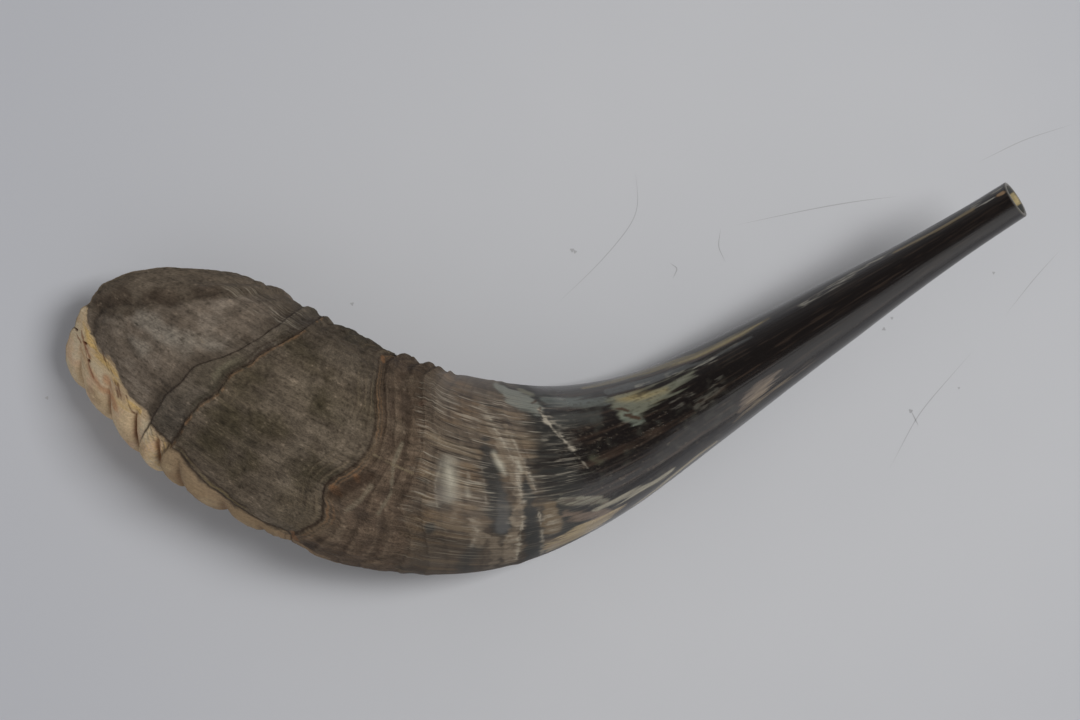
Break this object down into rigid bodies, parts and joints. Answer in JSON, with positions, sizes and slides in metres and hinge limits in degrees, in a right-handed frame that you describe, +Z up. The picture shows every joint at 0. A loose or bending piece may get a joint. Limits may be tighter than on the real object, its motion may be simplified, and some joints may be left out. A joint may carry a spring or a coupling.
{
  "type": "shofar",
  "caption": "Curved natural ram's horn shofar: rough open bell, broad bend and straight polished stem ending in a drilled cup mouth.",
  "frame": {"origin": "centre of the bounding box's base, with the horn lying at rest on its belly and bell rim", "axes": "+Z up from the surface it lies on, +X towards the mouth, the longest extent"},
  "size_m": [0.3478, 0.1419, 0.0709],
  "materials": {
    "horn_polished": "near-black horn keratin, ground and polished to a gloss",
    "horn_half_polished": "brown and blue-grey horn keratin, partly polished, with fine scratches",
    "horn_rough": "raw grey-brown horn keratin, matt, ridged and striated",
    "horn_keel": "raw cream to ochre horn keratin along the keel, matt and knuckled"
  },
  "bodies": {
    "root": {"mouth_tip": "horn_polished", "stem_sheath": "horn_polished", "upper_bend_sheath": "horn_half_polished", "lower_bend_sheath": "horn_half_polished", "belly_sheath": "horn_rough", "flank_sheath": "horn_rough", "knuckle_band": "horn_keel", "bell_sheath": "horn_rough"}
  },
  "joints": []
}
